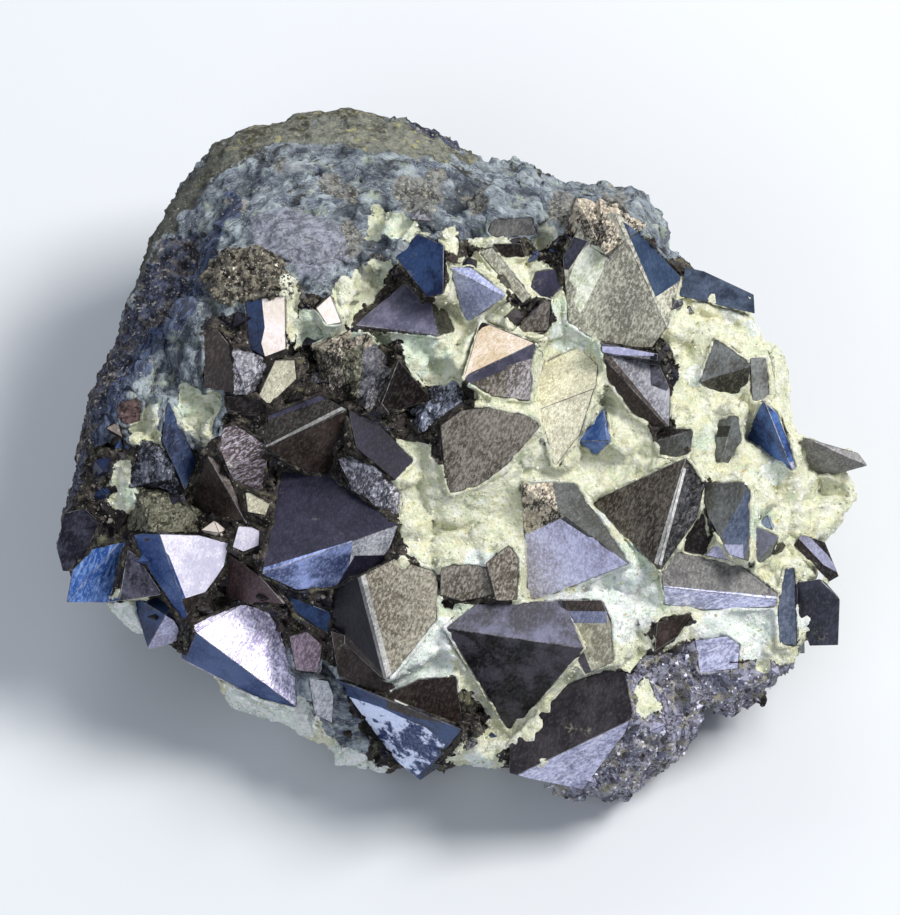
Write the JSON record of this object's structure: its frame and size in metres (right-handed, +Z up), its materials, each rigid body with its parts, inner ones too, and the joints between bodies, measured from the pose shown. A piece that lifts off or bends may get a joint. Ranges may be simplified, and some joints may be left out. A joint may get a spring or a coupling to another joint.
{
  "type": "magnetite specimen",
  "caption": "Mineral specimen: octahedral magnetite crystals grown close together on a lump of grey host rock with pale yellow-green matrix, flat underneath where it rests.",
  "frame": {"origin": "on the flat underside, below the middle of the lump", "axes": "+X to the right along the length, +Y to the back where the bare host rock is, +Z up"},
  "size_m": [0.0953, 0.0811, 0.046],
  "materials": {
    "black_magnetite": "near-black sparkling crystal faces",
    "cream_magnetite": "cream frosted crystal faces",
    "frost_magnetite": "bright frosted crystal faces",
    "grey_magnetite": "grey-brown speckled crystal faces",
    "lavender_magnetite": "frosted lavender crystal faces",
    "maroon_magnetite": "dark maroon smooth crystal faces",
    "mauve_magnetite": "dull mauve crystal faces",
    "navy_magnetite": "dark crystal faces with a blue sheen",
    "olive_magnetite": "olive-brown speckled crystal faces",
    "matrix_rock": "grey foliated host rock at the back, lumpy pale yellow-green matrix in front, sparkling granular ore at the lower right, matt",
    "slate_magnetite": "smooth slate-purple crystal faces with a metallic lustre",
    "speckled_magnetite": "brown crystal faces with pale specks",
    "umber_magnetite": "dark brown crystal faces, fine growth lines, submetallic"
  },
  "bodies": {
    "root": {"banded_octahedron": "grey_magnetite", "black_octahedron": "black_magnetite", "black_slot": "black_magnetite", "black_wedge": "black_magnetite", "blue_chip": "navy_magnetite", "blue_column": "navy_magnetite", "blue_sliver": "navy_magnetite", "brick_octahedron": "umber_magnetite", "brown_chip": "umber_magnetite", "brown_octahedron": "umber_magnetite", "brown_slot": "umber_magnetite", "brown_trapezoid": "speckled_magnetite", "cream_chip": "cream_magnetite", "cream_tablet": "cream_magnetite", "cream_topped_octahedron": "cream_magnetite", "dark_ledge": "black_magnetite", "dark_splinter": "black_magnetite", "etched_octahedron": "navy_magnetite", "frosted_octahedron": "frost_magnetite", "grey_flake": "grey_magnetite", "lavender_block": "lavender_magnetite", "lavender_octahedron": "lavender_magnetite", "left_point": "black_magnetite", "maroon_left_octahedron": "umber_magnetite", "maroon_octahedron": "maroon_magnetite", "matrix_rock": "matrix_rock", "mauve_block": "mauve_magnetite", "navy_octahedron": "navy_magnetite", "navy_tablet": "navy_magnetite", "olive_flank": "olive_magnetite", "olive_octahedron": "olive_magnetite", "pale_lavender_block": "lavender_magnetite", "peak_octahedron": "grey_magnetite", "pink_chip": "frost_magnetite", "pointed_octahedron": "navy_magnetite", "purple_octahedron": "slate_magnetite", "right_strip": "slate_magnetite", "rough_brown_cluster": "black_magnetite", "rough_crest": "black_magnetite", "rough_dark_cluster": "black_magnetite", "rough_grey_cluster": "black_magnetite", "rough_left_cluster": "black_magnetite", "rough_lower_left_cluster": "black_magnetite", "russet_knob": "umber_magnetite", "slanted_bar": "grey_magnetite", "slate_flank": "slate_magnetite", "slate_octahedron": "slate_magnetite", "sliver": "navy_magnetite", "small_dark_block": "black_magnetite", "small_grey_block": "grey_magnetite", "small_purple_octahedron": "slate_magnetite", "speckled_block": "speckled_magnetite", "streaked_octahedron": "navy_magnetite", "tip_octahedron": "grey_magnetite", "umber_octahedron": "umber_magnetite", "violet_block": "slate_magnetite", "violet_chip": "slate_magnetite", "white_blade": "frost_magnetite", "white_octahedron": "frost_magnetite", "wide_block": "grey_magnetite"}
  },
  "joints": []
}
